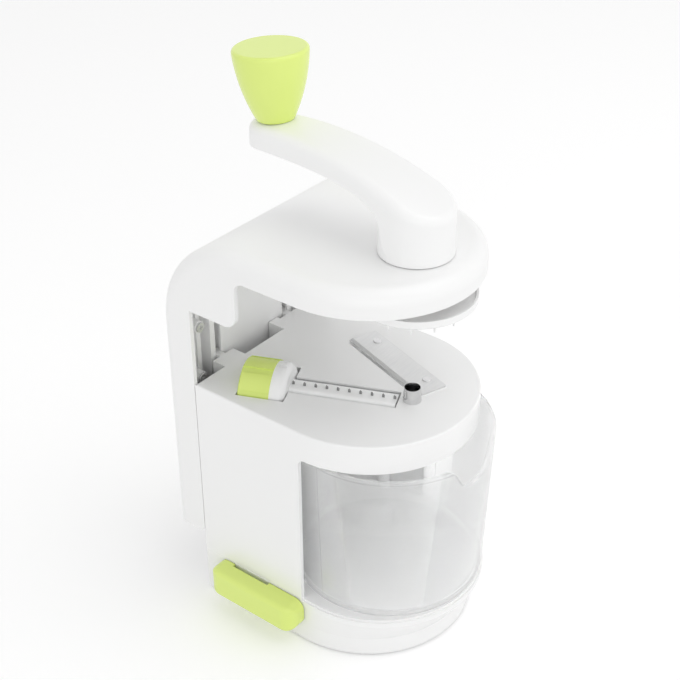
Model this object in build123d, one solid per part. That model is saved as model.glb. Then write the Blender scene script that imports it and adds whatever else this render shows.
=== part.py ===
from build123d import *
import os
from math import asin, cos, radians, sin, tan

# Hand cranked vertical spiralizer. Sizes are in millimetres.
# X is right, Y is back, Z is up. The origin is on the table, under the centre
# of the half-round front that the deck, the base and the top plate share.

# ---------------------------------------------------------------- driving sizes

# the plan shared by base, housing and arm
half_width = 60.0            # half the width, and the radius of the round front
housing_rear = 72.5          # flat back of the housing
spine_rear = 95.5            # flat back of the spine
wall = 2.4                   # moulded walls of base and housing
arm_wall = 2.5               # moulded walls of the arm
slide_gap = 0.3              # between pieces that move past each other
shaft_gap = 0.05             # radial, a shaft in its bore

# heights above the table
rim_lift = 1.0               # the base rim is held this far off the table by the cup
base_top = 29.5
deck_top = 143.5
deck_thickness = 3.0
skirt_height = 17.0
plate_top = 232.7
plate_rim = 14.7             # height of the top plate's rim
spine_foot = 41.0
gusset_foot = 189.5

# crank axis
crank_y = -28.3

# base and suction lock
tray_shift = 8.0             # the tray's round front stands this far forward
tray_edge = 4.5              # height of the tray's upright edge
tray_flare = 13.0            # height over which the tray runs back into the base
tray_step = 1.2              # width and depth of the step round the tray
cup_y = 12.0
cup_radius = 46.0
cup_lip = 1.2
cup_hub_radius = 9.0
cup_hub_height = 9.0
cup_ring_radius = 38.0       # the wall of the base that sits on the cup
lock_z = 19.0                # axis of the lever and its shaft
lock_shaft_radius = 4.0
lock_throw = 3.0             # offset of the eccentric pin, and so the pull on the cup
lock_pin_radius = 2.0
lock_slot_play = 0.8         # above and below the pin in the stem's slot
square_socket = 5.2          # the shaft's square end in the lever
lever_rear = 61.0
lever_front = -1.0
lever_low = 11.5
lever_high = 29.0
lever_thickness = 12.0
lever_gap = 0.6              # between lever and base
base_screw_radius = 1.6
base_screw_length = 15.0
base_screw_inset = 8.5       # from the side of the base

# main housing
window_front = 1.0           # the side walls end here, and the container shows
window_corner = 4.0
rail_inner = 20.0            # guide rails on the back, either side of the middle
rail_outer = 36.5
rail_rear = 81.0
rail_neck = 4.2              # thickness of the neck that passes the lips
rail_head = 7.8              # width of the head behind the lips
rail_head_depth = 3.2
block_inner = 14.6           # a wider block carries the right rail
block_rear = 82.4

# container
container_radius = 57.0
container_shift = 14.0       # its centre is this far in front of the origin
container_top = 125.0
container_rear_top = 116.0   # the rim is lower at the back, under the selector
container_wall = 2.0
container_floor = 2.6
container_draft = 2.2        # degrees
panel_rise = 0.7             # the front of the container stands out by this much
panel_edge = -9.0            # and ends here on either side
notch_depth = 15.0
notch_half_width = 19.0

# cutter selector, a square rod with a comb on three of its faces
selector_angle = 23.2        # degrees, its axis against the Y axis in plan
selector_offset = -1.9       # its axis passes the crank axis at this distance
selector_drop = 6.0          # its axis below the deck
barrel_side = 13.0
barrel_corner = 3.0
barrel_near = 7.6            # distances along the selector from the crank axis
barrel_length = 58.6
collar_length = 8.0
grip_length = 17.4
grip_radius = 17.5
groove_count = 8
groove_width = 3.8
groove_depth = 0.7
collar_radius = 17.0
collar_round = 4.0
pocket_wall = 1.8
pocket_gap = 0.7
core_radius = 5.0
journal_radius = 2.5
comb_thickness = 0.8
comb_depth = 3.2             # height of a comb's strip inside the rod
comb_cover = 0.8             # plastic over the strip
comb_end = 0.7               # the strip stays this far inside the rod's ends
tooth_height = 2.0
tooth_width = 1.3
medium_teeth = 10
coarse_teeth = 5
fine_teeth = 19

# slicing plate
blade_angle = 18.9           # degrees, its long edge against the Y axis in plan
blade_edge = 4.3             # its cutting edge passes the crank axis at this distance
blade_width = 17.8
blade_near = -0.6
blade_far = 67.0
blade_thickness = 0.8
blade_lift = 0.6             # pad under the plate
blade_bevel = 2.2            # width of the ground edge
chute_width = 9.4
chute_ahead = 1.3            # the mouth that shows in front of the cutting edge
chute_near = 9.2
chute_depth = 9.0
rivet_radius = 1.6
rivet_inset = 10.4           # from the ends of the plate

# corer
corer_radius = 5.0
corer_tip = 4.4              # radius of its ground top edge
corer_bore = 4.0
corer_top = 151.6
corer_foot = 121.0

# arm
bend_radius = 55.0
edge_round = 8.5
spine_corner = 4.0           # round corner at the foot of the spine's sides
gusset_front = 40.2
gusset_round = 6.0
gusset_corner = 8.0
panel_face = 84.0            # front of the guide panel's middle
panel_half = 24.0
channel_outer = 33.0
panel_skin = 1.5
lip_width = 2.2
boss_x = 44.0
boss_heights = (168.5, 136.0, 74.0)
boss_radius = 3.6
panel_screw_radius = 1.45
cover_thickness = 2.0
cover_rise = 1.0             # the under cover is this far above the rim
cover_rear = 64.0

# crank
crank_radius = 89.3          # from the crank axis to the knob axis
hub_radius = 19.4
arm_end_radius = 14.0
crank_gap = 0.5
arm_end_top = 278.5          # seat of the knob's spindle
arm_thickness = 11.0         # at the knob
arm_reach = 16.7             # the crown's line ends this far behind the knob's axis
hub_lead = 25.0              # and starts this far in front of the crank axis
hub_drop = 24.7              # where it is this far below the seat
crank_crown = 80.0           # radius of the top across the arm
crank_edge = 5.5             # rounding along the top
hub_back = 4.0               # the arm's flanks leave the hub here, behind the axis
shaft_grip = 17.0
spindle_thread = 2.5
thread_depth = 8.5
shaft_radius = 6.0
shaft_square = 8.0
bush_wall = 2.0
disc_radius = 32.0
disc_low = 207.0
disc_thickness = 3.0
disc_hub_radius = 11.0
spike_length = 7.0
spike_side = 1.8
disc_screw_radius = 1.7

# knob
knob_lean = 3.4              # degrees, the arm's end leans the knob outwards
knob_low_radius = 10.0
knob_middle_radius = 16.8    # at half its height
knob_top_radius = 19.7
knob_height = 37.4
knob_gap = 1.2               # between the knob and the seat of its spindle
seat_height = 0.8
seat_radius = 7.0
spindle_radius = 4.0
head_height = 25.0           # of the spindle's head above the knob's foot
cap_thickness = 2.8
cap_round = 1.8

# ---------------------------------------------------------------- derived places

rim_low = plate_top - plate_rim
cover_low = rim_low + cover_rise
cover_top = cover_low + cover_thickness
selector_z = deck_top - selector_drop
knob_y = crank_y + crank_radius
knob_low = seat_height + knob_gap
knob_top = knob_low + knob_height
head_seat = knob_low + head_height
arm_end_bottom = arm_end_top - arm_thickness
collar_near = barrel_near + barrel_length
grip_near = collar_near + collar_length
grip_far = grip_near + grip_length
comb_near = barrel_near + comb_end
comb_far = collar_near - comb_end
channel_middle = (panel_half + channel_outer) / 2
panel_back = spine_rear - arm_wall
far_out = 200.0              # cutting bodies reach this far past the part

selector_frame = (
    Pos(0, crank_y, selector_z)
    * Rot(0, 0, selector_angle)
    * Pos(selector_offset, 0, 0)
    * Rot(-90, 0, 0)
)
blade_frame = Pos(0, crank_y, 0) * Rot(0, 0, -blade_angle)
knob_frame = Pos(0, knob_y, arm_end_top) * Rot(-knob_lean, 0, 0)


# ---------------------------------------------------------------- helpers

def d_plan(inset, rear, shift=0.0):
    """The shared plan: a half-round front of the given inset, and straight sides."""
    radius = half_width - inset
    front = Pos(0, -shift) * Circle(radius)
    sides = Pos(0, (rear - shift) / 2) * Rectangle(2 * radius, rear + shift)
    return front + sides


def upright(plan, low, high):
    """A plan pulled up from one height to another."""
    return Pos(0, 0, low) * extrude(plan, amount=high - low)


def across(profile, half):
    """A side profile, drawn as (Y, Z), pulled out to both sides of the middle."""
    return extrude(Plane.YZ * profile, amount=half, both=True)


def ring_profile(points):
    """A body turned about Z from points given as (radius, height)."""
    return revolve(Plane.XZ * Polygon(*points, align=None), axis=Axis.Z)


def tube(outer, inner, low, high):
    return Pos(0, 0, low) * extrude(Circle(outer) - Circle(inner), amount=high - low)


def rod(radius, low, high):
    return Pos(0, 0, low) * extrude(Circle(radius), amount=high - low)


def both_sides(piece):
    """The piece and its mirror image on the other side of the middle."""
    return piece + mirror(piece, about=Plane.YZ)


def pan_screw(shank, length, head, head_height):
    """A screw that points down from the origin, with its head above it and a cross."""
    body = rod(shank, -length + shank, 0) + rod(head, 0, head_height)
    tip = Pos(0, 0, -length + shank / 2) * Cone(shank * 0.3, shank, shank)
    slot = Box(head * 1.1, head * 0.3, head_height)
    cross = Pos(0, 0, head_height) * (slot + Rot(0, 0, 90) * slot)
    return body + tip - cross


# ---------------------------------------------------------------- base and suction lock

def base_housing():
    body = upright(d_plan(0, housing_rear), rim_lift, base_top)
    edge_low = base_top - tray_edge
    flare = loft([
        Pos(0, 0, edge_low - tray_flare) * d_plan(0.02, housing_rear - 0.1),
        Pos(0, 0, edge_low) * d_plan(0.02, housing_rear - 0.1, tray_shift),
    ])
    tray = upright(d_plan(0, housing_rear, tray_shift), edge_low, base_top)
    body = body + flare + tray
    edge = [e for e in body.edges().filter_by(GeomType.CIRCLE)
            if e.center().Z > base_top - 0.01 and e.radius > half_width - 1]
    body = fillet(edge, 0.8)
    step = d_plan(-2, window_front, tray_shift + 2) - d_plan(tray_step, window_front, tray_shift)
    step = step & (Pos(0, window_front - far_out / 2) * Rectangle(far_out, far_out))
    body -= upright(step, base_top - tray_step, base_top + 1)
    # the underside is open round the lock
    floor = base_top - wall
    body -= upright(d_plan(wall, housing_rear - wall), rim_lift - 1, floor)
    # a round wall presses on the cup, and two posts carry the cross shaft
    seat_low = cup_thickness_at(cup_ring_radius)
    body += Pos(0, cup_y, 0) * tube(cup_ring_radius + wall, cup_ring_radius, seat_low, floor)
    near_post = Pos(-half_width + 6, cup_y, lock_z) * Box(12, 13, 13)
    far_post = Pos(13, cup_y, (lock_z + floor) / 2) * Box(5, 13, floor - lock_z + 13)
    body += (near_post + far_post) & upright(d_plan(0, housing_rear), rim_lift, floor)
    body -= Pos(-half_width - 1, cup_y, lock_z) * Rot(0, 90, 0) * Cylinder(
        lock_shaft_radius + shaft_gap, 14 + half_width,
        align=(Align.CENTER, Align.CENTER, Align.MIN))
    for x, y in base_screw_places():
        body += Pos(x, y, 0) * rod(4.5, floor - 3, floor)
        body -= Pos(x, y, 0) * rod(base_screw_radius + 0.2, floor - 4, base_top + 1)
    return body


def base_screw_places():
    """Two screws near the front of the side walls and two near the back."""
    x = half_width - base_screw_inset
    rear = housing_rear - base_screw_inset
    return [(-x, 27.0), (x, 27.0), (-x, rear), (x, rear)]


def base_screws():
    head_low = base_top - wall - 3
    screw = Rot(180, 0, 0) * pan_screw(base_screw_radius, base_screw_length, 3.0, 2.0)
    return [Pos(x, y, head_low) * screw for x, y in base_screw_places()]


def cup_thickness_at(radius):
    """The cup is a shallow cone above its lip, so its top falls with the radius."""
    rise = 4.0 - cup_lip
    return cup_lip + rise * (cup_radius - radius) / (cup_radius - cup_hub_radius)


def suction_cup():
    profile = [
        (0, 0), (cup_radius, 0), (cup_radius, cup_lip),
        (cup_hub_radius, cup_thickness_at(cup_hub_radius)),
        (cup_hub_radius - 1, cup_hub_height), (0, cup_hub_height),
    ]
    cup = ring_profile(profile)
    collar_in = cup_ring_radius + wall
    collar = tube(collar_in + 1.5, collar_in, 0.5, 6.0)
    cup = cup + collar
    return Pos(0, cup_y, 0) * (cup - stem_foot())


def stem_foot():
    """The part of the stem that the cup is moulded round."""
    return rod(6, 1.6, 3.2) + rod(3, 3.2, cup_hub_height)


def suction_stem():
    slot_half = lock_pin_radius + lock_slot_play
    yoke_low = lock_z - slot_half - 1.6
    yoke_high = lock_z + slot_half + 1.2
    yoke_front = -lock_pin_radius - 3.2
    yoke_rear = lock_throw + lock_pin_radius + 2.6
    stem = stem_foot() + rod(3, cup_hub_height - 1, yoke_low + 1)
    yoke = Pos(0, (yoke_front + yoke_rear) / 2, (yoke_low + yoke_high) / 2) * Box(
        7.0, yoke_rear - yoke_front, yoke_high - yoke_low)
    slot = Pos(0, (yoke_front + yoke_rear) / 2, lock_z) * Box(
        20, yoke_rear - yoke_front - 3.0, 2 * slot_half)
    return Pos(0, cup_y, 0) * (stem + yoke - slot)


def cam_shaft():
    """Cross shaft in two journals, with an eccentric pin between two webs."""
    web_half = 3.5 + slide_gap
    outer = -half_width - lever_gap
    long_part = rod(lock_shaft_radius, outer, -web_half - 2)
    socket_part = Pos(0, 0, outer - 7) * extrude(
        Rectangle(square_socket, square_socket), amount=7)
    far_part = rod(lock_shaft_radius, web_half + 2, 12.5)
    web_radius = lock_shaft_radius + 1.2
    webs = rod(web_radius, -web_half - 2, -web_half) + rod(web_radius, web_half, web_half + 2)
    pin = Pos(0, lock_throw, 0) * rod(lock_pin_radius, -web_half - 1, web_half + 1)
    shaft = long_part + socket_part + far_part + webs + pin
    return Pos(0, cup_y, lock_z) * Rot(0, 90, 0) * shaft


def lock_lever():
    """A rounded bar along the base, with a square socket for the cross shaft."""
    length = lever_rear - lever_front
    height = lever_high - lever_low
    side = Pos((lever_rear + lever_front) / 2, (lever_high + lever_low) / 2) * (
        RectangleRounded(length, height, 6.0))
    inner_x = -half_width - lever_gap
    bar = Pos(inner_x, 0, 0) * extrude(Plane.YZ * side, amount=-lever_thickness)
    plan = Pos(inner_x, (lever_rear + lever_front) / 2) * RectangleRounded(
        2 * lever_thickness, length, 8.0)
    bar = bar & upright(plan, 0, lever_high + 1)
    outer_edges = [e for e in bar.edges()
                   if e.center().X < inner_x - lever_thickness * 0.4]
    bar = fillet(outer_edges, 2.6)
    scoop = Pos(inner_x, (lever_rear + lever_front) / 2 + 7, lever_high) * Box(
        4.0, 26, 12.0)
    bar -= scoop
    socket = Pos(inner_x - 7, cup_y, lock_z) * Rot(0, 90, 0) * extrude(
        Rectangle(square_socket, square_socket), amount=8)
    return bar - socket


# ---------------------------------------------------------------- main housing

def window_cut():
    """The open front below the skirt, with a round corner under the skirt."""
    skirt_low = deck_top - skirt_height
    opening = Polygon(
        (-far_out, base_top - 1), (window_front, base_top - 1),
        (window_front, skirt_low), (-far_out, skirt_low), align=None)
    corner = [v for v in opening.vertices()
              if v.X > window_front - 1 and v.Y > skirt_low - 1]
    return across(fillet(corner, window_corner), far_out)


def along_selector(radius, near, far):
    """A round rod on the selector's axis between two stations."""
    return selector_frame * rod(radius, near, far)


def pocket_solid():
    """Walls of the two troughs under the deck that the selector turns in."""
    under = deck_top - deck_thickness / 2
    barrel_outer = barrel_sweep() + pocket_wall
    grip_outer = grip_radius + pocket_gap + pocket_wall
    walls = along_selector(barrel_outer, barrel_near - 2.4, collar_near)
    walls += along_selector(grip_outer, collar_near - pocket_gap - pocket_wall,
                            grip_far + pocket_gap + pocket_wall)
    for half, near, far in (
            (barrel_outer, barrel_near - 2.4, collar_near),
            (grip_outer, collar_near - pocket_gap - pocket_wall,
             grip_far + pocket_gap + pocket_wall)):
        block = Pos(0, -selector_drop / 2, near) * extrude(
            Rectangle(2 * half, selector_drop), amount=far - near)
        walls += selector_frame * block
    keep = upright(d_plan(wall / 2, housing_rear - wall / 2), base_top, under)
    return walls & keep


def barrel_sweep():
    """Inner radius of the barrel's trough: it clears the teeth as they go round."""
    return barrel_side / 2 + tooth_height + 0.6


def pocket_space():
    """What the selector turns in, with its slots through the deck."""
    near = barrel_near - 0.7
    space = along_selector(barrel_sweep(), near, collar_near)
    slot_half = barrel_side / 2 + 1.2
    space += selector_frame * (Pos(0, -selector_drop, near) * extrude(
        Rectangle(2 * slot_half, 2 * selector_drop), amount=collar_near - near))
    grip_space = grip_radius + pocket_gap
    low = collar_near - pocket_gap
    high = grip_far + pocket_gap
    space += along_selector(grip_space, low, high)
    return space


def chute_plan(grow):
    """The slot under the cutting edge, seen from above, grown by a wall."""
    width = chute_width + 2 * grow
    length = blade_far - 1.0 - chute_near + 2 * grow
    middle_x = blade_edge - chute_ahead + chute_width / 2
    middle_y = (blade_far - 1.0 + chute_near) / 2
    return blade_frame * Pos(middle_x, middle_y) * Rectangle(width, length)


def blade_outline():
    """The slicing plate seen from above, with small round corners behind its edge."""
    plate = Pos(blade_edge + blade_width / 2, (blade_near + blade_far) / 2) * Rectangle(
        blade_width, blade_far - blade_near)
    corners = plate.vertices().sort_by(Axis.X)[-2:]
    return fillet(corners, 1.0)


def rail_plan():
    """One guide rail seen from above: block, neck and the head behind the lips."""
    block_width = rail_outer - rail_inner
    block = Pos((rail_inner + rail_outer) / 2, (housing_rear - 1 + rail_rear) / 2) * Rectangle(
        block_width, rail_rear - housing_rear + 1)
    lip_back = panel_face + panel_skin + slide_gap
    head_back = lip_back + rail_head_depth
    neck = Pos(channel_middle, (rail_rear - 1 + lip_back) / 2) * Rectangle(
        rail_neck, lip_back - rail_rear + 1.02)
    head = Pos(channel_middle, (lip_back + head_back) / 2) * Rectangle(
        rail_head, head_back - lip_back)
    return block + neck + head


def main_housing():
    outer = upright(d_plan(0, housing_rear), base_top, deck_top)
    top_edges = [e for e in outer.edges() if e.center().Z > deck_top - 0.01]
    outer = fillet(top_edges, 1.0)
    inner = upright(d_plan(wall, housing_rear - wall), base_top - 1, deck_top - deck_thickness)
    body = outer - inner - window_cut()
    body += both_sides(upright(rail_plan(), base_top + 0.5, deck_top))
    block = Pos((block_inner + rail_inner) / 2, (housing_rear + block_rear) / 2) * Rectangle(
        rail_inner - block_inner + 2, block_rear - housing_rear + 2)
    body += upright(block, base_top + 0.5, deck_top)
    # under the deck: troughs for the selector, chute walls, the boss of the corer
    body += pocket_solid()
    body += upright(chute_plan(pocket_wall), deck_top - chute_depth, deck_top - 1)
    body += Pos(0, crank_y, 0) * rod(corer_radius + 2.6, deck_top - 13, deck_top - 0.5)
    pad = blade_frame * blade_outline()
    body += upright(pad, deck_top - 1, deck_top + blade_lift)
    body -= pocket_space()
    body -= upright(chute_plan(0), deck_top - chute_depth - 1, deck_top + blade_lift + 1)
    body -= Pos(0, crank_y, 0) * rod(corer_radius, corer_foot - far_out, deck_top + 5)
    body -= along_selector(journal_radius + shaft_gap, barrel_near - 1.9, barrel_near)
    body -= along_selector(journal_radius + shaft_gap, grip_far, grip_far + pocket_gap + 1.6)
    for x, y in rivet_places():
        body -= blade_frame * (Pos(x, y, 0) * rod(rivet_radius, deck_top - 2, deck_top + 5))
    # posts for the base screws
    for x, y in base_screw_places():
        post = Pos(x, y, 0) * rod(base_screw_radius + 2.2, base_top, base_top + 18)
        reach = half_width - wall / 2 - abs(x)
        gusset = Pos(x + (reach / 2 if x > 0 else -reach / 2), y, base_top + 9) * Box(
            reach, 1.6, 18)
        body += post + gusset
        body -= Pos(x, y, 0) * rod(base_screw_radius, base_top - 1, base_top + 16)
    return body


def rivet_places():
    """Places of the two rivets in the plate's own frame."""
    x = blade_edge + blade_width * 0.69
    return [(x, blade_near + rivet_inset), (x, blade_far - rivet_inset)]


def flat_blade():
    plate = upright(blade_outline(), deck_top + blade_lift, deck_top + blade_lift + blade_thickness)
    plate = blade_frame * plate
    bevel = Polygon(
        (blade_edge - 1, deck_top + blade_lift + blade_thickness + 0.01),
        (blade_edge - 1, deck_top + blade_lift + blade_thickness - 0.7),
        (blade_edge, deck_top + blade_lift + blade_thickness - 0.7),
        (blade_edge + blade_bevel, deck_top + blade_lift + blade_thickness + 0.01), align=None)
    cutter = Pos(0, blade_near - 5, 0) * extrude(
        Plane.XZ * bevel, amount=blade_near - blade_far - 10)
    plate -= blade_frame * cutter
    for x, y in rivet_places():
        plate -= blade_frame * (Pos(x, y, 0) * rod(rivet_radius, deck_top, deck_top + 5))
    plate -= Pos(0, crank_y, 0) * rod(corer_radius + 0.3, deck_top, deck_top + 5)
    return plate


def blade_rivets():
    top = deck_top + blade_lift + blade_thickness
    rivet = rod(rivet_radius, deck_top - 2, top) + rod(rivet_radius + 0.9, top, top + 0.5)
    rivet = fillet(rivet.edges().sort_by(Axis.Z)[-1], 0.35)
    return [blade_frame * (Pos(x, y, 0) * rivet) for x, y in rivet_places()]


def corer_tube():
    """Thin tube with a ground top edge."""
    body = ring_profile([
        (corer_bore, corer_foot), (corer_radius, corer_foot), (corer_radius, deck_top + 0.6),
        (corer_tip, corer_top), (corer_tip - 0.12, corer_top), (corer_bore, corer_top - 1.2)])
    return Pos(0, crank_y, 0) * body


# ---------------------------------------------------------------- cutter selector

def comb_strip(turn, teeth):
    """A steel strip moulded into the rod, whose pointed teeth stand out of its face."""
    face = -barrel_side / 2
    strip_top = face + comb_cover
    strip = Pos(0, strip_top + comb_depth / 2, comb_near) * extrude(
        Rectangle(comb_thickness, comb_depth), amount=comb_far - comb_near)
    half = tooth_width / 2
    pitch = (comb_far - comb_near - tooth_width) / (teeth - 1)
    for index in range(teeth):
        station = comb_near + half + index * pitch
        tooth = Polygon(
            (strip_top + 0.5, station - half), (face - tooth_height * 0.55, station - half),
            (face - tooth_height, station + half * 0.2), (face - tooth_height * 0.8, station + half),
            (strip_top + 0.5, station + half), align=None)
        strip += extrude(Plane.YZ * tooth, amount=comb_thickness / 2, both=True)
    return Rot(0, 0, turn) * strip


def comb_turns():
    """Combs on three of the four faces; the fourth is left bare for ribbons."""
    return ((0, medium_teeth), (90, coarse_teeth), (180, fine_teeth))


def cutter_barrel():
    """A square rod with round corners, its core shaft and two journals."""
    length = collar_near - barrel_near
    square = Pos(0, 0, barrel_near) * extrude(
        RectangleRounded(barrel_side, barrel_side, barrel_corner), amount=length)
    for turn, teeth in comb_turns():
        square -= comb_strip(turn, teeth)
    core = rod(core_radius, collar_near, grip_far - 2)
    journals = rod(journal_radius, barrel_near - 1.7, barrel_near)
    return selector_frame * (square + core + journals)


def selector_grip():
    """Grip wheel with shallow grooves along its outside and a journal at its end."""
    wheel = rod(grip_radius, grip_near, grip_far)
    wheel = chamfer(wheel.edges().sort_by(Axis.Z)[-1], 0.8)
    for index in range(groove_count):
        turn = selector_angle + index * 360 / groove_count
        cut = Pos(0, -grip_radius, grip_near) * extrude(
            Rectangle(groove_width, 2 * groove_depth), amount=grip_length)
        wheel -= Rot(0, 0, turn) * cut
    wheel -= rod(core_radius, grip_near - 1, grip_far - 2)
    wheel += rod(journal_radius, grip_far, grip_far + pocket_gap + 1.4)
    return selector_frame * wheel


def selector_collar():
    """White ring with four click notches round its rim."""
    ring = rod(collar_radius, collar_near, grip_near)
    ring = fillet(ring.edges().sort_by(Axis.Z)[0], collar_round)
    for turn in (0, 90, 180, 270):
        ring -= Rot(0, 0, turn) * (
            Pos(0, collar_radius + 1.4, collar_near) * rod(2.0, 2.0, 6.0))
    ring -= rod(core_radius, collar_near - 1, grip_near + 1)
    return selector_frame * ring


def detent_spring():
    """A leaf in the bottom of the pocket that follows the collar's rim."""
    inner = collar_radius + 0.35
    seat = grip_radius + pocket_gap
    low = collar_near + 2.2
    wide = 3.6
    half_angle = 26
    strip = Pos(0, 0, low) * extrude(Circle(inner + 0.5) - Circle(inner), amount=wide)
    wedge = Polygon(
        (0, 0), (far_out * sin(radians(half_angle)), far_out * cos(radians(half_angle))),
        (-far_out * sin(radians(half_angle)), far_out * cos(radians(half_angle))), align=None)
    strip &= Pos(0, 0, low) * extrude(wedge, amount=wide)
    foot_angle = half_angle - 2
    foot_length = seat - inner
    for side in (-1, 1):
        foot = Rot(0, 0, side * foot_angle) * (
            Pos(0, inner + foot_length / 2, low + wide / 2) * Box(1.0, foot_length - 0.05, wide))
        strip += foot
    return selector_frame * strip


# ---------------------------------------------------------------- container

def tapered_cup(inset, low, high):
    """The container's round form between two heights, narrower towards its foot."""
    def radius_at(z):
        return container_radius - inset - (container_top - z) * tan(radians(container_draft))
    lower = Pos(0, -container_shift, low) * Circle(radius_at(low))
    upper = Pos(0, -container_shift, high) * Circle(radius_at(high))
    return loft([lower, upper])


def container():
    low = base_top + 0.3
    cup = tapered_cup(0, low, container_top)
    cup = fillet(cup.edges().sort_by(Axis.Z)[0], 2.4)
    inside = tapered_cup(container_wall, low + container_floor, container_top + 1)
    inside = fillet(inside.edges().sort_by(Axis.Z)[0], 2.0)
    # the front stands out a little between two upright edges
    ahead = Pos(0, panel_edge - far_out / 2) * Rectangle(far_out, far_out)
    front = tapered_cup(-panel_rise, low + 6, container_top - 1.5) & upright(
        ahead, low, container_top)
    cup = cup + front - inside
    # the finger notch in the front of the rim, seen from the front
    notch_low = container_top - notch_depth
    notch = Polygon(
        (-notch_half_width - 6, container_top + 5), (-notch_half_width - 6, container_top),
        (-notch_half_width + 1, container_top), (-notch_half_width + 9, notch_low),
        (notch_half_width - 9, notch_low), (notch_half_width - 1, container_top),
        (notch_half_width + 6, container_top), (notch_half_width + 6, container_top + 5),
        align=None)
    shoulder = [v for v in notch.vertices()
                if abs(v.Y - container_top) < 0.1 and abs(v.X) < notch_half_width]
    notch = fillet(shoulder, 6.0)
    bottom = [v for v in notch.vertices() if abs(v.Y - notch_low) < 0.1]
    notch = fillet(bottom, 7.0)
    cup -= extrude(Plane.XZ * notch, amount=far_out)
    # the rim steps down behind, under the selector's pocket
    step = Polygon(
        (10, container_top + 5), (10, container_top), (16, container_top),
        (20, container_rear_top), (far_out, container_rear_top), (far_out, container_top + 5),
        align=None)
    bends = [v for v in step.vertices() if 12 < v.X < 30 and v.Y < container_top + 1]
    step = fillet(bends, 2.5)
    cup -= across(step, far_out)
    return cup


# ---------------------------------------------------------------- arm

def arm_form(inset):
    """Outer form of arm and spine, or with an inset the space inside them."""
    top = plate_top - inset
    back = spine_rear - inset
    bend = bend_radius - inset
    side = Polygon(
        (-half_width - 5, spine_foot - 5), (back, spine_foot - 5), (back, top),
        (-half_width - 5, top), align=None)
    corner = [v for v in side.vertices() if v.X > back - 1 and v.Y > top - 1]
    side = fillet(corner, bend)
    body = across(side, half_width + 5) & upright(
        d_plan(inset, back + 5), spine_foot - 5, top + 5)
    spine_edges = [
        e for e in body.edges()
        if abs(abs(e.center().X) - (half_width - inset)) < 0.01 and e.center().Y > 0
        and (e.center().Y > back - 0.01 or e.center().Z > top - bend)]
    front_edges = [e for e in body.edges() if e.center().Z > top - 0.01 and e.center().Y < 0]
    return fillet(spine_edges + front_edges, edge_round - inset)


def arm_underside():
    """What lies below the rim and in front of the spine, seen from the side."""
    spine_front = housing_rear + 0.5
    profile = Polygon(
        (-far_out, spine_foot - 20), (-far_out, rim_low), (gusset_front, rim_low),
        (gusset_front, gusset_foot), (spine_front, gusset_foot), (spine_front, spine_foot),
        (far_out, spine_foot), (far_out, spine_foot - 20), align=None)
    spine_edge = [v for v in profile.vertices()
                  if abs(v.X - spine_front) < 0.1 and abs(v.Y - spine_foot) < 0.1]
    profile = fillet(spine_edge, spine_corner)
    rim_corner = [v for v in profile.vertices()
                  if abs(v.X - gusset_front) < 0.1 and abs(v.Y - rim_low) < 0.1]
    profile = fillet(rim_corner, gusset_round)
    foot_corner = [v for v in profile.vertices()
                   if abs(v.X - gusset_front) < 0.1 and abs(v.Y - gusset_foot) < 0.1]
    profile = fillet(foot_corner, gusset_corner)
    return across(profile, far_out)


def cover_screw_places():
    return [(-47.0, -8.0), (47.0, -8.0), (-47.0, 46.0), (47.0, 46.0)]


def arm_shell():
    space = arm_form(arm_wall)
    shell = arm_form(0) - arm_underside() - space
    hub = Pos(0, crank_y, 0) * rod(bush_outer() + arm_wall, cover_top, plate_top - 1)
    ribs = [Pos(0, crank_y, 0) * Rot(0, 0, turn) * Pos(26, 0, (cover_top + plate_top) / 2) * Box(
        40, 1.6, plate_top - cover_top) for turn in (35, 90, 145, -35, -145)]
    posts = [Pos(x, y, 0) * rod(3.6, cover_top, plate_top - 1) for x, y in cover_screw_places()]
    inside = space & upright(d_plan(0, spine_rear), cover_top, plate_top)
    for piece in [hub] + ribs + posts:
        shell += piece & inside
    shell -= Pos(0, crank_y, 0) * rod(bush_outer(), cover_low, plate_top + 1)
    for x, y in cover_screw_places():
        shell -= Pos(x, y, 0) * rod(1.4, cover_top - 1, cover_top + 7)
    for x, z in panel_boss_places():
        shell -= Pos(x, panel_back, z) * Rot(-90, 0, 0) * rod(panel_screw_radius, -1, 1.8)
    return shell


def bush_outer():
    return shaft_radius + shaft_gap + bush_wall


def under_cover():
    """Flat cover that closes the top plate from below."""
    inset = arm_wall + 0.1
    plate = upright(d_plan(inset, cover_rear), cover_low, cover_top)
    plate -= Pos(0, crank_y, 0) * rod(bush_outer(), cover_low - 1, cover_top + 1)
    for x, y in cover_screw_places():
        plate -= Pos(x, y, 0) * rod(1.6, cover_low - 1, cover_top + 1)
    return plate


def cover_screws():
    screw = Rot(180, 0, 0) * pan_screw(1.4, 8.0, 2.6, 1.6)
    return [Pos(x, y, cover_low) * screw for x, y in cover_screw_places()]


def crank_bush():
    bush = tube(bush_outer(), shaft_radius + shaft_gap, cover_low, plate_top)
    flange = tube(bush_outer() + 3, shaft_radius + shaft_gap, cover_low - 1.2, cover_low)
    return Pos(0, crank_y, 0) * (bush + flange)


def panel_boss_places():
    return [(side * boss_x, z) for side in (-1, 1) for z in boss_heights]


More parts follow.
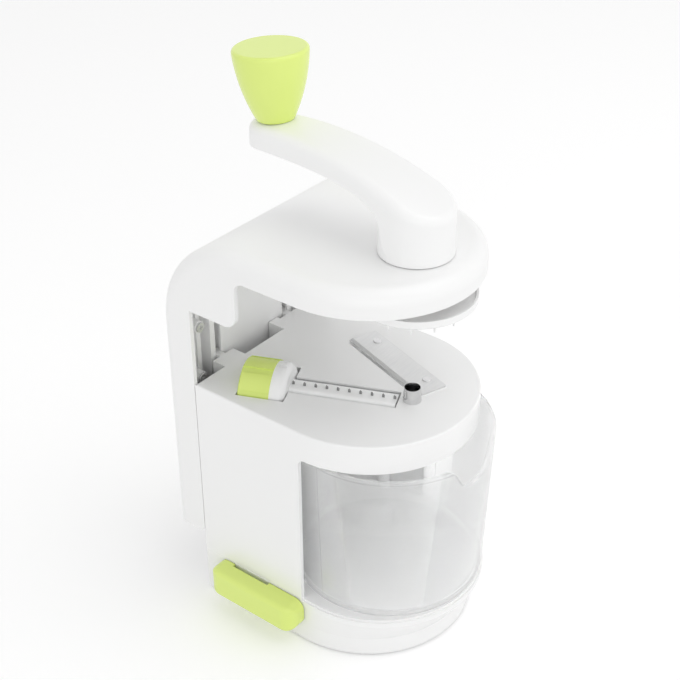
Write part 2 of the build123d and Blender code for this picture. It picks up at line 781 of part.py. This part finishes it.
def panel_plan():
    """Guide panel seen from above: middle box, lips, channel walls and ribs."""
    back = panel_back
    skin = Pos(0, back - panel_skin / 2) * Rectangle(2 * 50.0, panel_skin)
    middle = Pos(0, panel_face + panel_skin / 2) * Rectangle(2 * panel_half, panel_skin)
    depth = back - panel_face

    def rib(x, thickness):
        return Pos(x, back - depth / 2) * Rectangle(thickness, depth)

    half_plan = rib(panel_half - panel_skin / 2, panel_skin)
    half_plan += Pos(panel_half + lip_width / 2 - 0.05, panel_face + panel_skin / 2) * Rectangle(
        lip_width + 0.1, panel_skin)
    half_plan += rib(channel_outer + panel_skin / 2, panel_skin)
    half_plan += Pos(channel_outer - lip_width / 2 + 0.05, panel_face + panel_skin / 2) * Rectangle(
        lip_width + 0.1, panel_skin)
    half_plan += Pos(boss_x - 3.2, back - depth * 0.35) * Rectangle(3.0, depth * 0.7)
    return skin + middle + half_plan + mirror(half_plan, about=Plane.YZ)


def guide_panel():
    low = spine_foot + 3
    high = cover_low - 0.5
    panel = upright(panel_plan(), low, high)
    boss = Rot(90, 0, 0) * rod(boss_radius, 0, panel_back - panel_face + 1.5)
    hole = Rot(90, 0, 0) * rod(panel_screw_radius, -1, 20)
    for x, z in panel_boss_places():
        panel += Pos(x, panel_back, z) * boss
        panel -= Pos(x, panel_back, z) * hole
    return panel & arm_form(arm_wall)


def panel_screws():
    head_face = panel_face - 1.5
    length = panel_back - head_face + 1.6
    screw = Rot(90, 0, 0) * pan_screw(panel_screw_radius, length, 2.8, 1.4)
    return [Pos(x, head_face, z) * screw for x, z in panel_boss_places()]


# ---------------------------------------------------------------- crank and knob

def crank_ridge():
    """Crown of the crank as (Y, Z), an S from the hub's front to behind the knob."""
    return Bezier(
        (crank_y - hub_lead, arm_end_top - hub_drop),
        (crank_y - hub_lead + 15.5, arm_end_top - hub_drop + 10.0),
        (crank_y + crank_radius * 0.435, arm_end_top + 10.6),
        (knob_y + arm_reach, arm_end_top))


def crank_roof():
    """The space under the crowned top."""
    side = hub_radius + 3
    drop = side * side / (2 * crank_crown)
    low = plate_top + crank_gap
    ridge = crank_ridge()
    sections = []
    for share in (0.0, 0.15, 0.3, 0.45, 0.6, 0.8, 1.0):
        point = ridge @ share
        edge = point.Y - drop
        with BuildSketch(Plane.XZ.offset(-point.X)) as section:
            with BuildLine():
                Polyline((side, edge), (side, low), (-side, low), (-side, edge))
                ThreePointArc((-side, edge), (0, point.Y), (side, edge))
            make_face()
        sections.append(section.sketch)
    return loft(sections)


def crank_underside():
    """What lies below the arm, behind the hub, seen from the side."""
    low = plate_top - 5
    start = crank_y + hub_back
    rear = knob_y + 2 * arm_end_radius
    with BuildSketch(Plane.XY) as side:
        with BuildLine():
            under = Bezier(
                (start, arm_end_bottom - 31.5), (start + 14.2, arm_end_bottom - 18.7),
                (start - 15.4, arm_end_bottom - 1.1), (knob_y - 39, arm_end_bottom + 0.8),
                (knob_y - 2, arm_end_bottom))
            end = Line(under @ 1, (rear, arm_end_bottom - 0.7))
            Polyline(end @ 1, (rear, low), (start, low), under @ 0)
        make_face()
    return across(side.sketch, half_width)


def crank_outline():
    """Crank seen from above: the round hub tapers to the smaller round end."""
    lean = asin((hub_radius - arm_end_radius) / crank_radius)
    hub_x = hub_radius * cos(lean)
    hub_y = crank_y + hub_radius * sin(lean)
    end_x = arm_end_radius * cos(lean)
    end_y = knob_y + arm_end_radius * sin(lean)
    bar = Polygon((-hub_x, hub_y), (hub_x, hub_y), (end_x, end_y), (-end_x, end_y), align=None)
    return bar + Pos(0, crank_y) * Circle(hub_radius) + Pos(0, knob_y) * Circle(arm_end_radius)


def crank_arm():
    low = plate_top + crank_gap
    body = crank_roof() & upright(crank_outline(), low, arm_end_top + 10)
    hub = Pos(0, crank_y, 0) * rod(hub_radius, low - 10, arm_end_top)
    body -= crank_underside() - hub
    crown = max(body.faces(), key=lambda f: f.center().Z * (f.normal_at().Z > 0.5))
    body = fillet(crown.edges(), crank_edge)
    socket = Pos(0, crank_y, low - 1) * extrude(
        Rectangle(shaft_square, shaft_square), amount=shaft_grip + 1)
    body -= socket
    body -= knob_frame * rod(seat_radius, seat_height, seat_height + 5)
    body -= knob_frame * rod(spindle_thread, -thread_depth - 0.5, seat_height + 1)
    return body


def drive_shaft():
    """Round journal with a square end in the crank and one in the disc."""
    low = plate_top + crank_gap
    square = Rectangle(shaft_square, shaft_square)
    disc_floor = disc_low + 2.0
    shaft = rod(shaft_radius, washer_low(), low)
    shaft += Pos(0, 0, low) * extrude(square, amount=shaft_grip)
    shaft += Pos(0, 0, disc_floor) * extrude(square, amount=washer_low() - disc_floor)
    shaft -= rod(disc_screw_radius, disc_floor - 1, disc_floor + 12)
    return Pos(0, crank_y, 0) * shaft


def washer_low():
    """Top of the disc's hub, which carries the thrust washer."""
    return cover_low - 1.2 - 0.3 - 0.8


def thrust_washer():
    return Pos(0, crank_y, 0) * tube(bush_outer() + 2.6, shaft_radius, washer_low(), washer_low() + 0.8)


def spike_places():
    """Spikes in rings round the disc."""
    rings = ((9.5, 6, 0.0), (17.5, 10, 18.0), (26.0, 14, 6.0))
    return [(radius, start + index * 360 / count)
            for radius, count, start in rings for index in range(count)]


def spike():
    """A flat pointed spike that hangs down from the origin."""
    root = Rectangle(spike_side * 1.5, spike_side * 0.8)
    tip = Pos(0, 0, -spike_length) * Rectangle(spike_side * 0.4, spike_side * 0.25)
    return loft([root, tip])


def spiked_disc():
    disc = ring_profile([
        (0, disc_low), (disc_radius - 3, disc_low), (disc_radius - 2.4, disc_low - 0.6),
        (disc_radius - 0.6, disc_low - 0.6), (disc_radius, disc_low),
        (disc_radius, disc_low + disc_thickness + 0.8),
        (disc_radius - 1.2, disc_low + disc_thickness + 0.8),
        (disc_radius - 1.6, disc_low + disc_thickness), (disc_hub_radius, disc_low + disc_thickness),
        (disc_hub_radius - 0.6, washer_low()), (0, washer_low())])
    core_ring = tube(5.6, 4.4, disc_low - 5.0, disc_low + 0.5)
    disc += core_ring
    tooth = spike()
    for radius, turn in spike_places():
        disc += Rot(0, 0, turn) * (Pos(radius, 0, disc_low + 0.4) * tooth)
    disc -= Pos(0, 0, disc_low + 2.0) * extrude(
        Rectangle(shaft_square, shaft_square), amount=30)
    disc -= rod(disc_screw_radius, disc_low - 1, disc_low + 3)
    return Pos(0, crank_y, 0) * disc


def disc_washer():
    return Pos(0, crank_y, 0) * tube(3.9, disc_screw_radius, disc_low - 0.8, disc_low)


def disc_screw():
    screw = Rot(180, 0, 0) * pan_screw(disc_screw_radius, 12.0, 3.2, 2.0)
    return Pos(0, crank_y, disc_low - 0.8) * screw


def knob_spindle():
    """Shoulder screw: thread in the crank, shoulder in the knob, head under the cap."""
    spindle = rod(spindle_thread, -thread_depth, seat_height)
    spindle += rod(spindle_radius, seat_height, head_seat)
    spindle += rod(spindle_radius + 3, head_seat, head_seat + 3)
    spindle -= Pos(0, 0, head_seat + 3) * Box(9, 1.4, 2.4)
    return knob_frame * spindle


def crank_knob():
    """Flared grip turned about its spindle, with a seat for the cap."""
    high = knob_top - cap_thickness
    middle = (knob_low + high) / 2
    with BuildSketch(Plane.XZ) as half:
        with BuildLine():
            bottom = Line((0, knob_low), (knob_low_radius, knob_low))
            side = ThreePointArc(
                bottom @ 1, (knob_middle_radius, middle + 0.7), (knob_top_radius, high))
            lid = Line(side @ 1, (0, high))
            Line(lid @ 1, (0, knob_low))
        make_face()
    grip = revolve(half.sketch, axis=Axis.Z)
    grip = fillet(grip.edges().sort_by(Axis.Z)[0], 0.6)
    grip -= rod(spindle_radius + shaft_gap, knob_low - 1, knob_top)
    grip -= rod(spindle_radius + 3.5, head_seat - slide_gap, knob_top)
    return knob_frame * grip


def knob_cap():
    """Flat cap with a soft edge and a plug that fills the top of the knob's bore."""
    low = knob_top - cap_thickness
    cap = rod(knob_top_radius, low, knob_top)
    cap = fillet(cap.edges().sort_by(Axis.Z)[-1], cap_round)
    plug = rod(spindle_radius + 3.5, low - 3, low)
    return knob_frame * (cap + plug)


# ---------------------------------------------------------------- write every node

def build_all():
    medium, coarse, fine = [
        selector_frame * comb_strip(turn, teeth) for turn, teeth in comb_turns()]
    return {
        "base_housing": base_housing(),
        "suction_cup": suction_cup(),
        "suction_stem": suction_stem(),
        "cam_shaft": cam_shaft(),
        "lock_lever": lock_lever(),
        "base_screws": base_screws(),
        "main_housing": main_housing(),
        "flat_blade": flat_blade(),
        "blade_rivets": blade_rivets(),
        "corer_tube": corer_tube(),
        "detent_spring": detent_spring(),
        "cutter_barrel": cutter_barrel(),
        "selector_grip": selector_grip(),
        "selector_collar": selector_collar(),
        "medium_comb": medium,
        "coarse_comb": coarse,
        "fine_comb": fine,
        "container": container(),
        "arm_shell": arm_shell(),
        "guide_panel": guide_panel(),
        "panel_screws": panel_screws(),
        "under_cover": under_cover(),
        "cover_screws": cover_screws(),
        "crank_bush": crank_bush(),
        "crank_arm": crank_arm(),
        "drive_shaft": drive_shaft(),
        "thrust_washer": thrust_washer(),
        "spiked_disc": spiked_disc(),
        "disc_washer": disc_washer(),
        "disc_screw": disc_screw(),
        "knob_spindle": knob_spindle(),
        "crank_knob": crank_knob(),
        "knob_cap": knob_cap(),
    }


def write_nodes(nodes):
    os.makedirs("parts", exist_ok=True)
    for name, piece in nodes.items():
        if isinstance(piece, list):
            piece = Compound(children=piece)
        export_step(piece, f"parts/{name}.step")


write_nodes(build_all())
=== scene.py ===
import math

import bpy
from mathutils import Matrix, Vector

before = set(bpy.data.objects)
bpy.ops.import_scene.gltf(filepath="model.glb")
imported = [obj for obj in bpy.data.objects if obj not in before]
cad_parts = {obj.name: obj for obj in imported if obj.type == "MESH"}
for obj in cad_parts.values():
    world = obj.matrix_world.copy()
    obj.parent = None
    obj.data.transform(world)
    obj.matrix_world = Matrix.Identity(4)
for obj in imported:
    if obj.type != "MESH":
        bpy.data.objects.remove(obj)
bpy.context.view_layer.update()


# --- node helpers -------------------------------------------------------------------

def new_material(name):
    """A material, its node tree and its Principled shader."""
    material = bpy.data.materials.new(name)
    material.use_nodes = True
    tree = material.node_tree
    return material, tree, tree.nodes["Principled BSDF"]


def object_coordinates(tree, stretch=(1, 1, 1), turn=0.0):
    """Object coordinates in metres, times stretch and then turned about Z."""
    source = tree.nodes.new("ShaderNodeTexCoord")
    mapping = tree.nodes.new("ShaderNodeMapping")
    mapping.inputs["Scale"].default_value = stretch
    mapping.inputs["Rotation"].default_value = (0, 0, turn)
    tree.links.new(source.outputs["Object"], mapping.inputs["Vector"])
    return mapping.outputs["Vector"]


def noise(tree, vector, scale, detail, roughness=0.5):
    """Cloudy noise from 0 to 1, which stays near 0.5 for the most part."""
    node = tree.nodes.new("ShaderNodeTexNoise")
    node.inputs["Scale"].default_value = scale
    node.inputs["Detail"].default_value = detail
    node.inputs["Roughness"].default_value = roughness
    tree.links.new(vector, node.inputs["Vector"])
    return node.outputs["Fac"]


def ranged(tree, value, low, high, start=0.35, stop=0.65):
    """From low, where the value is start or less, to high, where it is stop or more."""
    node = tree.nodes.new("ShaderNodeMapRange")
    node.inputs["From Min"].default_value = start
    node.inputs["From Max"].default_value = stop
    node.inputs["To Min"].default_value = low
    node.inputs["To Max"].default_value = high
    tree.links.new(value, node.inputs["Value"])
    return node.outputs["Result"]


def ramp(tree, value, first, second, start=0.35, stop=0.65):
    """The same between two colours."""
    node = tree.nodes.new("ShaderNodeValToRGB")
    node.color_ramp.elements[0].position = start
    node.color_ramp.elements[0].color = (*first, 1)
    node.color_ramp.elements[1].position = stop
    node.color_ramp.elements[1].color = (*second, 1)
    tree.links.new(value, node.inputs["Fac"])
    return node.outputs["Color"]


def bump(tree, height, distance, strength, under=None):
    """A bump over the given heights, on top of another bump where one is given."""
    node = tree.nodes.new("ShaderNodeBump")
    node.inputs["Strength"].default_value = strength
    node.inputs["Distance"].default_value = distance
    tree.links.new(height, node.inputs["Height"])
    if under is not None:
        tree.links.new(under, node.inputs["Normal"])
    return node.outputs["Normal"]


def math_node(tree, operation, first, second):
    """The operation on two values, each a number or another node's output."""
    node = tree.nodes.new("ShaderNodeMath")
    node.operation = operation
    for socket, value in zip(node.inputs, (first, second)):
        if isinstance(value, (int, float)):
            socket.default_value = value
        else:
            tree.links.new(value, socket)
    return node.outputs[0]


# --- materials ----------------------------------------------------------------------
# The floor and the sky overhead are brighter for glossy rays than for diffuse ones. In
# test renders a reflection counted as glossy only below a roughness of about 0.27, and
# a range of roughness that crossed this value showed as patches with sharp edges. So
# each range keeps to one side of it.

plastic_ior = 1.49
tub_ior = 1.3
tub_transmission = 0.72
# the share that the tub's surface has in what is seen through it, and how much less of
# that share a shadow ray meets
tub_cover = 0.5
tub_cover_off_shadow = 0.45
rod_subsurface = 0.12
rod_radius = 0.002


def moulded_plastic(name, colour, shade, gloss, grain=0.00001, scuffs=0.04):
    """Injection moulded plastic: faint flow marks, a fine surface grain, rubbed patches."""
    material, tree, shader = new_material(name)
    link = tree.links.new
    place = object_coordinates(tree)
    flow = noise(tree, object_coordinates(tree, (1, 1, 0.3)), scale=9, detail=1.0)
    streaks = ramp(tree, flow, shade, colour, start=0.3, stop=0.7)
    link(streaks, shader.inputs["Base Color"])
    rubbed = noise(tree, place, scale=14, detail=3.0, roughness=0.6)
    rough = ranged(tree, rubbed, gloss, gloss + scuffs, start=0.3, stop=0.7)
    link(rough, shader.inputs["Roughness"])
    soft = noise(tree, place, scale=16, detail=0.0)
    waves = bump(tree, soft, distance=0.0001, strength=0.1)
    fine = noise(tree, place, scale=1600, detail=2.0, roughness=0.6)
    link(bump(tree, fine, grain, strength=0.5, under=waves), shader.inputs["Normal"])
    shader.inputs["IOR"].default_value = plastic_ior
    return material


def clear_plastic(name):
    """Clear moulded tub: nearly colourless, faint flow waves and fine rubbing marks."""
    material, tree, shader = new_material(name)
    link = tree.links.new
    tint = noise(tree, object_coordinates(tree), scale=30, detail=2.0)
    tinted = ramp(tree, tint, first=(0.965, 0.97, 0.972), second=(0.985, 0.988, 0.988))
    link(tinted, shader.inputs["Base Color"])
    marks = object_coordinates(tree, (1, 1, 6))
    rubbed = noise(tree, marks, scale=120, detail=4.0, roughness=0.7)
    rough = ranged(tree, rubbed, low=0.04, high=0.10, start=0.4, stop=0.75)
    link(rough, shader.inputs["Roughness"])
    waves = noise(tree, object_coordinates(tree, (1, 1, 0.4)), scale=26, detail=1.0)
    link(bump(tree, waves, distance=0.0003, strength=0.2), shader.inputs["Normal"])
    shader.inputs["Transmission Weight"].default_value = tub_transmission
    shader.inputs["IOR"].default_value = tub_ior
    # the wall throws little shadow, so that light gets to what stands behind it
    path = tree.nodes.new("ShaderNodeLightPath")
    shadow = math_node(tree, "MULTIPLY", path.outputs["Is Shadow Ray"], tub_cover_off_shadow)
    link(math_node(tree, "SUBTRACT", tub_cover, shadow), shader.inputs["Alpha"])
    return material


def milky_plastic(name):
    """Milky plastic of the rod that carries the combs."""
    material, tree, shader = new_material(name)
    link = tree.links.new
    place = object_coordinates(tree)
    cloud = noise(tree, place, scale=120, detail=3.0)
    clouded = ramp(tree, cloud, first=(0.94, 0.943, 0.943), second=(0.965, 0.967, 0.967))
    link(clouded, shader.inputs["Base Color"])
    link(ranged(tree, cloud, low=0.16, high=0.24), shader.inputs["Roughness"])
    fine = noise(tree, place, scale=1500, detail=2.0)
    link(bump(tree, fine, distance=0.00001, strength=0.4), shader.inputs["Normal"])
    shader.inputs["Subsurface Weight"].default_value = rod_subsurface
    shader.inputs["Subsurface Radius"].default_value = (rod_radius, rod_radius, rod_radius)
    shader.inputs["Subsurface Scale"].default_value = 1.0
    shader.inputs["IOR"].default_value = plastic_ior
    return material


def ground_steel(name, turn, bright=0.73, rough=0.36):
    """Stainless sheet: fine grinding lines along its own X axis and a cloudy sheen.

    The turn is applied after the stretch, so it gives each sheet another pattern and
    leaves the lines along X.
    """
    material, tree, shader = new_material(name)
    link = tree.links.new
    along = object_coordinates(tree, (0.03, 1, 1), turn)
    lines = noise(tree, along, scale=2600, detail=4.0, roughness=0.7)
    dark = tuple(bright * part for part in (0.94, 0.945, 0.95))
    light = tuple(bright * part for part in (1.04, 1.04, 1.035))
    link(ramp(tree, lines, dark, light), shader.inputs["Base Color"])
    cloud = noise(tree, object_coordinates(tree), scale=70, detail=3.0)
    half_lines = math_node(tree, "MULTIPLY", lines, 0.5)
    half_cloud = math_node(tree, "MULTIPLY", cloud, 0.5)
    mixed = math_node(tree, "ADD", half_lines, half_cloud)
    link(ranged(tree, mixed, rough, rough + 0.14), shader.inputs["Roughness"])
    link(bump(tree, lines, distance=0.00001, strength=0.6), shader.inputs["Normal"])
    shader.inputs["Metallic"].default_value = 1.0
    return material


def turned_metal(name, dark, light, rough):
    """Turned or rolled metal: fine bands across its own Z axis and small stains."""
    material, tree, shader = new_material(name)
    link = tree.links.new
    stains = noise(tree, object_coordinates(tree), scale=260, detail=4.0, roughness=0.6)
    link(ramp(tree, stains, dark, light), shader.inputs["Base Color"])
    across = object_coordinates(tree, (0.2, 0.2, 3))
    bands = noise(tree, across, scale=1300, detail=3.0, roughness=0.6)
    link(ranged(tree, bands, rough, rough + 0.16), shader.inputs["Roughness"])
    link(bump(tree, bands, distance=0.00001, strength=0.6), shader.inputs["Normal"])
    shader.inputs["Metallic"].default_value = 1.0
    return material


def soft_rubber(name):
    """Matt black rubber with a little pale dust."""
    material, tree, shader = new_material(name)
    link = tree.links.new
    place = object_coordinates(tree)
    dust = noise(tree, place, scale=160, detail=6.0, roughness=0.7)
    black = (0.035, 0.035, 0.036)
    dusted = (0.075, 0.074, 0.072)
    dusty = ramp(tree, dust, black, dusted, start=0.45, stop=0.8)
    link(dusty, shader.inputs["Base Color"])
    link(ranged(tree, dust, low=0.48, high=0.66), shader.inputs["Roughness"])
    fine = noise(tree, place, scale=2200, detail=2.0)
    link(bump(tree, fine, distance=0.00003, strength=0.5), shader.inputs["Normal"])
    return material


blade_turn = math.radians(18.9)
selector_turn = math.radians(-23.2)

pale = (0.92, 0.92, 0.917)
pale_shade = (0.905, 0.906, 0.904)
inner_pale = (0.91, 0.91, 0.908)
inner_shade = (0.895, 0.897, 0.895)
lime = (0.745, 0.875, 0.235)
lime_shade = (0.725, 0.855, 0.215)

white = moulded_plastic("white_gloss", pale, pale_shade, gloss=0.21)
arm_white = moulded_plastic("white_satin", pale, pale_shade, gloss=0.32, grain=0.000015)
inner_white = moulded_plastic("white_inner", inner_pale, inner_shade, gloss=0.42, grain=0.00002)
green = moulded_plastic("green_gloss", lime, lime_shade, gloss=0.20, grain=0.000008, scuffs=0.05)
clear = clear_plastic("clear_tub")
milky = milky_plastic("milky_rod")
blade = ground_steel("ground_blade", blade_turn)
# painted shade: the comb teeth get a much darker copy of the blade's ground steel, so they show
# as the dark marks that shade makes of them
painted_dark_comb_steel = ground_steel("ground_comb_painted_shade", selector_turn, bright=0.3, rough=0.1)
tube_steel = turned_metal("bright_tube", (0.66, 0.66, 0.67), (0.72, 0.72, 0.72), rough=0.08)
screw_steel = turned_metal("zinc_screw", (0.36, 0.36, 0.37), (0.56, 0.56, 0.55), rough=0.3)
# painted light: the panel screws get a lighter copy of the screw zinc, which lifts them out of
# the shade they sit in
painted_light_zinc = turned_metal("painted_light_zinc", (0.70, 0.70, 0.70), (0.80, 0.80, 0.79), rough=0.4)
bronze = turned_metal("sintered_bronze", (0.40, 0.27, 0.11), (0.58, 0.41, 0.18), rough=0.36)
rubber = soft_rubber("cup_rubber")

finishes = {
    "base_housing": white,
    "main_housing": white,
    "arm_shell": arm_white,
    "guide_panel": inner_white,
    "under_cover": inner_white,
    "crank_arm": arm_white,
    "spiked_disc": white,
    "selector_collar": white,
    "lock_lever": green,
    "selector_grip": green,
    "crank_knob": green,
    "knob_cap": green,
    "container": clear,
    "cutter_barrel": milky,
    "flat_blade": blade,
    "blade_rivets": tube_steel,
    "corer_tube": tube_steel,
    "medium_comb": painted_dark_comb_steel,
    "fine_comb": painted_dark_comb_steel,
    "coarse_comb": painted_dark_comb_steel,
    "detent_spring": screw_steel,
    "base_screws": screw_steel,
    "panel_screws": painted_light_zinc,
    "cover_screws": screw_steel,
    "disc_screw": screw_steel,
    "disc_washer": screw_steel,
    "cam_shaft": screw_steel,
    "suction_stem": screw_steel,
    "drive_shaft": screw_steel,
    "knob_spindle": screw_steel,
    "crank_bush": bronze,
    "thrust_washer": bronze,
    "suction_cup": rubber,
}

for name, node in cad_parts.items():
    for slot in node.material_slots:
        slot.material = finishes[name]


# --- floor and sky ------------------------------------------------------------------

floor_reach = 6
floor_tone = 0.90
floor_glow = 0.2
# the sky's strength for the light on the object goes from the first to the second
# between these heights of a direction, where straight up is 1
sky_low = 1.12
sky_high = 0.54
low_height = 0.1
high_height = 0.9


def backdrop_light(tree):
    """One where a camera, glossy or transmission ray looks, zero for the light on the object."""
    path = tree.nodes.new("ShaderNodeLightPath")
    seen = math_node(tree, "ADD", path.outputs["Is Camera Ray"], path.outputs["Is Glossy Ray"])
    seen = math_node(tree, "ADD", seen, path.outputs["Is Transmission Ray"])
    return math_node(tree, "MINIMUM", seen, 1.0)


corners = [
    (-floor_reach, -floor_reach, 0),
    (floor_reach, -floor_reach, 0),
    (floor_reach, floor_reach, 0),
    (-floor_reach, floor_reach, 0),
]
floor_mesh = bpy.data.meshes.new("floor")
floor_mesh.from_pydata(corners, [], [(0, 1, 2, 3)])
floor = bpy.data.objects.new("floor", floor_mesh)
bpy.context.scene.collection.objects.link(floor)
floor_material, tree, shader = new_material("pale_floor")
shader.inputs["Base Color"].default_value = (floor_tone, floor_tone, floor_tone, 1)
shader.inputs["Roughness"].default_value = 0.9
shader.inputs["Specular IOR Level"].default_value = 0.1
shader.inputs["Emission Color"].default_value = (1, 1, 1, 1)
glow = math_node(tree, "MULTIPLY", backdrop_light(tree), floor_glow)
tree.links.new(glow, shader.inputs["Emission Strength"])
floor_mesh.materials.append(floor_material)

world = bpy.data.worlds.new("studio")
bpy.context.scene.world = world
world.use_nodes = True
tree = world.node_tree
background = tree.nodes["Background"]
background.inputs["Color"].default_value = (1, 1, 1, 1)
direction = tree.nodes.new("ShaderNodeTexCoord")
height = tree.nodes.new("ShaderNodeSeparateXYZ")
tree.links.new(direction.outputs["Generated"], height.inputs[0])
sky = ranged(tree, height.outputs["Z"], sky_low, sky_high, low_height, high_height)
strength = math_node(tree, "MAXIMUM", sky, backdrop_light(tree))
tree.links.new(strength, background.inputs["Strength"])


# --- lamps --------------------------------------------------------------------------

def area_light(name, place, target, width, height, power):
    """A rectangular lamp that points at the target, with its power in watts."""
    data = bpy.data.lights.new(name, "AREA")
    data.shape = "RECTANGLE"
    data.size = width
    data.size_y = height
    data.energy = power
    light = bpy.data.objects.new(name, data)
    light.location = place
    light.rotation_euler = (Vector(target) - Vector(place)).to_track_quat("-Z", "Y").to_euler()
    bpy.context.scene.collection.objects.link(light)


area_light("key", (0.35, -0.65, 1.7), (0, 0, 0.15), width=1.4, height=1.4, power=8)
area_light("fill", (-1.3, -1.0, 0.50), (0, 0, 0.16), width=1.4, height=0.9, power=3)


# --- camera, as fitted to the photo -------------------------------------------------

view_azimuth = math.radians(-51.67)
view_elevation = math.radians(32.01)
view_roll = math.radians(-0.34)
view_distance = 0.7297
view_middle = Vector((0, 0, 0.150))
shift_right = -0.01579
shift_up = 0.01706

right = Vector((math.cos(view_azimuth), math.sin(view_azimuth), 0))
back = Vector((
    math.sin(view_azimuth) * math.cos(view_elevation),
    -math.cos(view_azimuth) * math.cos(view_elevation),
    math.sin(view_elevation),
))
up = back.cross(right)
target = view_middle + right * shift_right + up * shift_up
camera_data = bpy.data.cameras.new("camera")
camera_data.sensor_width = 36
camera_data.lens = 71.87
camera_data.clip_start = 0.01
camera = bpy.data.objects.new("camera", camera_data)
turn = Matrix((right, up, back)).transposed() @ Matrix.Rotation(view_roll, 3, "Z")
camera.matrix_world = Matrix.Translation(target + back * view_distance) @ turn.to_4x4()
bpy.context.scene.collection.objects.link(camera)
bpy.context.scene.camera = camera
bpy.context.scene.view_settings.view_transform = "Standard"
